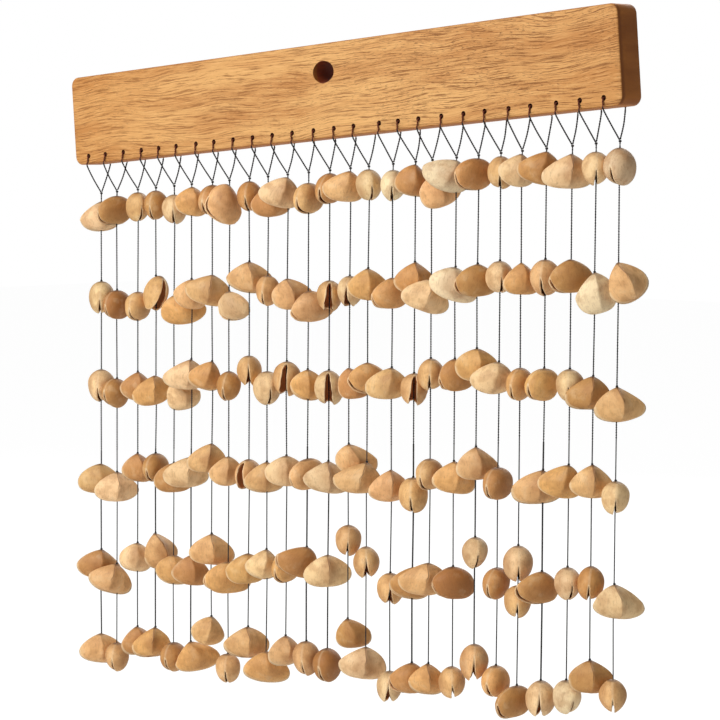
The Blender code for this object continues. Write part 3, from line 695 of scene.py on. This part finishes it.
# The bar: oiled light wood, with its sides and holes burnt dark, and its end faces darker still with painted
# shade. The hanger hole's front mouth is worn wide.
wornMouth = {"wide": 0.0095, "tall": 0.0071, "deep": 0.0035, "aside": 0.00075, "inner": 0.97, "sunk": 0.4}
barTints = {  # the share and the colour of each layer over the ground
    "ground": (1, (220, 167, 103)), "bands": (1, (192, 133, 74)), "blotch": (0.36, (180, 116, 54)),
    "outward": (0.52, (192, 128, 62)), "darkLines": (1, (126, 74, 28)), "lightLines": (0.42, (236, 186, 120)),
    "pores": (0.85, (96, 52, 18)), "edges": (1, (190, 120, 54)), "endFront": (1, (120, 66, 20)),
    "end": (1, (174, 106, 42)), "endBands": (1, (144, 82, 26)), "hangerHole": (1, (118, 50, 22)),
    "stringHoles": (1, (84, 34, 14)),
}
stringHoleBand, stringHoleSpan = (0.0019, 0.0024), (0.2295, 0.2305)  # above and below the row, and along it
barGrain = {  # how each pattern is squeezed along, through and up the bar, and how far it bends the lines
    "sway": (8, 8, 20), "ripple": (45, 50, 130), "lines": (62, 150, 1850), "broad": (7, 20, 75),
    "pores": (230, 500, 2100), "blotch": (12, 14, 30), "swayBy": 0.020, "rippleBy": 0.0022,
}


def makeBar():
    bm = bmesh.new()
    bmesh.ops.create_cube(bm, size=1.0)
    bmesh.ops.scale(bm, vec=(bar["length"], bar["thickness"], bar["height"]), verts=bm.verts)
    bmesh.ops.translate(bm, vec=(0, 0, bar["topAboveHole"] - bar["height"] / 2), verts=bm.verts)
    corners = [e for e in bm.edges if abs(e.verts[0].co.y - e.verts[1].co.y) > bar["thickness"] / 2]
    bmesh.ops.bevel(bm, geom=corners, offset=bar["cornerRadius"], segments=bar["cornerSteps"], profile=0.5,
                    affect="EDGES", material=-1)
    rims = [e for e in bm.edges if abs(e.verts[0].co.y - e.verts[1].co.y) < bar["thickness"] / 2]
    bmesh.ops.bevel(bm, geom=rims, offset=bar["edgeRound"], segments=bar["edgeSteps"], profile=0.5,
                    affect="EDGES", material=-1)
    mesh = meshFrom(bm, "barWood")
    cutters, worn = bmesh.new(), bmesh.new()
    rods = [(0.0, 0.0, bar["hangerRadius"], bar["hangerSides"])]
    for number in range(len(strands)):
        across = (alongBar.inverted() @ holePlace(number)).x
        rods.append((across, holeLevel, bar["holeMouth"], bar["mouthSides"]))
    for x, z, radius, sides in rods:
        turned = Matrix.Translation((x, 0, z)) @ Matrix.Rotation(math.pi / 2, 4, "X")
        bmesh.ops.create_cone(cutters, cap_ends=True, segments=sides, radius1=radius, radius2=radius,
                              depth=2 * bar["thickness"], matrix=turned)
    bmesh.ops.create_cone(worn, cap_ends=True, segments=bar["hangerSides"], depth=wornMouth["deep"],
                          radius1=wornMouth["inner"] * bar["hangerRadius"], radius2=wornMouth["wide"],
                          matrix=Matrix.Rotation(math.pi / 2, 4, "X"))
    for v in worn.verts:
        if v.co.y < 0:
            v.co.z *= wornMouth["tall"] / wornMouth["wide"]
            v.co.x += wornMouth["aside"]
        v.co.y -= bar["thickness"] / 2 - wornMouth["sunk"] * wornMouth["deep"]
    solid = bpy.data.objects.new("solid", mesh)
    bpy.context.collection.objects.link(solid)
    cutterObjects = []
    for name, shape in (("rods", cutters), ("worn", worn)):
        cutterObjects.append(bpy.data.objects.new(name, meshFrom(shape, name)))
    for o in cutterObjects:
        bpy.context.collection.objects.link(o)
        cut = solid.modifiers.new(o.name, "BOOLEAN")
        cut.operation, cut.solver, cut.object = "DIFFERENCE", "EXACT", o
    bpy.context.view_layer.update()
    done = bpy.data.meshes.new_from_object(solid.evaluated_get(bpy.context.evaluated_depsgraph_get()))
    for o in cutterObjects + [solid]:
        bpy.data.objects.remove(o)
    done.transform(alongBar)
    done.name = "barWood"
    done.shade_smooth()
    done.set_sharp_from_angle(angle=bar["sharpFrom"])
    return done


def barMaterial():
    material, tree, shader = newMaterial("barWood", (0.66, 0.36, 0.14), 0.5)
    place = addNode(tree, "ShaderNodeTexCoord", output=3)
    grain = stretched(place, (1, 1, 1), (0, bar["tilt"], 0))
    axes = {name: addNode(tree, "ShaderNodeSeparateXYZ", {}, {0: grain}, k) for k, name in enumerate("xyz")}
    sway = noiseOf(stretched(grain, barGrain["sway"]), 1.0, 2)
    ripple = noiseOf(stretched(grain, barGrain["ripple"]), 1.0, 2)
    level = axes["z"] + (sway - 0.5) * barGrain["swayBy"] + (ripple - 0.5) * barGrain["rippleBy"]
    flow = addNode(tree, "ShaderNodeCombineXYZ", {}, {0: axes["x"], 1: axes["y"], 2: level})
    lines = noiseOf(stretched(flow, barGrain["lines"]), 1.0, 4, 0.62)
    broad = noiseOf(stretched(flow, barGrain["broad"]), 1.0, 3, 0.55)
    pores = noiseOf(stretched(flow, barGrain["pores"]), 1.0, 2, 0.6)
    blotch = noiseOf(stretched(grain, barGrain["blotch"]), 1.0, 3)
    outward = axes["x"].math("ABSOLUTE").within(0.10, 0.25)
    rightward = axes["x"].within(-0.10, 0.20)
    colour = tinted(linear(*barTints["ground"][1]), broad.within(0.34, 0.70), barTints["bands"])
    colour = tinted(colour, blotch.within(0.54, 0.74), barTints["blotch"])
    colour = tinted(colour, outward, barTints["outward"])
    colour = tinted(colour, lines.within(0.53, 0.60) * (rightward * 0.22 + 0.62), barTints["darkLines"])
    colour = tinted(colour, lines.within(0.46, 0.36), barTints["lightLines"])
    poreMask = pores.within(0.57, 0.66) * blotch.within(0.34, 0.56) * (rightward * 0.55 + 0.45)
    colour = tinted(colour, poreMask, barTints["pores"])
    normal = addNode(tree, "ShaderNodeNewGeometry", output=1)
    front, end = (addNode(tree, "ShaderNodeSeparateXYZ", {}, {0: normal}, k).math("ABSOLUTE") for k in (1, 0))
    side = 1 - front.within(0.45, 0.9)
    # The end faces: burnt end grain, painted darker as painted shade, because they face away from the key
    # light.
    endWoodBurntAndPaintedShade = tinted(linear(*barTints["end"][1]), broad.within(0.3, 0.7), barTints["endBands"])
    endWoodBurntAndPaintedShade = tinted(endWoodBurntAndPaintedShade, axes["y"].within(-0.0055, -0.0095), barTints["endFront"])
    burnt = tinted(endWoodBurntAndPaintedShade, end.within(0.7, 0.3), barTints["edges"])
    colour = mixColour(side, colour, burnt)
    middle = addNode(tree, "ShaderNodeVectorMath", {"operation": "LENGTH"},
                     {0: addNode(tree, "ShaderNodeCombineXYZ", {}, {0: axes["x"], 2: axes["z"]})}, 1)
    inHole = 1 - middle.within(bar["hangerRadius"], bar["hangerRadius"] + 0.0006)
    inStringHole = side * (1 - (axes["z"] - holeLevel).math("ABSOLUTE").within(*stringHoleBand))
    inStringHole = inStringHole * (1 - axes["x"].math("ABSOLUTE").within(*stringHoleSpan))
    colour = tinted(colour, inHole, barTints["hangerHole"])
    colour = tinted(colour, inStringHole, barTints["stringHoles"])
    height = lines * 0.5 - poreMask * 1.0
    shader.inputs["Specular IOR Level"].default_value = 0.3
    feed(tree, shader, colour=colour, roughness=0.50 + lines * 0.2, normal=bumped(height, 0.3, 0.0004))
    return material


board = addPiece("barBoard", makeBar(), barMaterial(), "bar")
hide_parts("bar")
print("bar cut")

# White studio: a key from the left of the camera, a weak fill from its right, a lamp behind the chimes, and a
# white floor and sky.
studio = {
    "floorLevel": -0.62, "floorSize": 14.0, "floorPaint": 0.82, "floorGlow": 1.17, "glowShare": 0.8,
    "skyStrength": 0.29, "middle": (0.0, 0.0, -0.19),
}
lamps = {  # where it stands, its size and its watts
    "key": ((-0.55, -2.30, 1.30), 1.0, 63.0),
    "fill": ((2.4, -1.2, 0.0), 1.6, 2.0),
    "back": ((-0.9, 2.3, 0.9), 1.4, 30.0),
}


def makeStudio():
    bm = bmesh.new()
    bmesh.ops.create_grid(bm, x_segments=1, y_segments=1, size=studio["floorSize"] / 2)
    bmesh.ops.translate(bm, vec=(0, 0, studio["floorLevel"]), verts=bm.verts)
    mesh = meshFrom(bm, "floor")
    floor = bpy.data.objects.new("floor", mesh)
    bpy.context.collection.objects.link(floor)
    material, tree, shader = newMaterial("whiteFloor", (0.9, 0.9, 0.9), 0.9)
    mesh.materials.append(material)
    shader.inputs["Base Color"].default_value = (*[studio["floorPaint"]] * 3, 1.0)
    seen = addNode(tree, "ShaderNodeLightPath")
    glow = addNode(tree, "ShaderNodeEmission", {}, {"Color": (1, 1, 1, 1), "Strength": studio["floorGlow"]})
    plain = Socket(tree, shader.outputs[0])
    mixed = addNode(tree, "ShaderNodeMixShader", {}, {0: seen * studio["glowShare"], 1: plain, 2: glow})
    tree.links.new(mixed.out, tree.nodes["Material Output"].inputs["Surface"])

    world = bpy.data.worlds.new("whiteSky")
    world.use_nodes = True
    bpy.context.scene.world = world
    tree = world.node_tree
    seen = addNode(tree, "ShaderNodeLightPath")
    strength = seen * (1 - studio["skyStrength"]) + studio["skyStrength"]
    background = tree.nodes["Background"]
    background.inputs["Color"].default_value = (1, 1, 1, 1)
    tree.links.new(strength.out, background.inputs["Strength"])

    for name, (place, size, watts) in lamps.items():
        light = bpy.data.lights.new(name, "AREA")
        light.size, light.energy = size, watts
        lamp = bpy.data.objects.new(name, light)
        lamp.location = place
        lamp.rotation_mode = "QUATERNION"
        lamp.rotation_quaternion = (Vector(studio["middle"]) - lamp.location).to_track_quat("-Z", "Y")
        bpy.context.collection.objects.link(lamp)


makeStudio()
bpy.context.scene.view_settings.view_transform = "Standard"
print("studio lit")
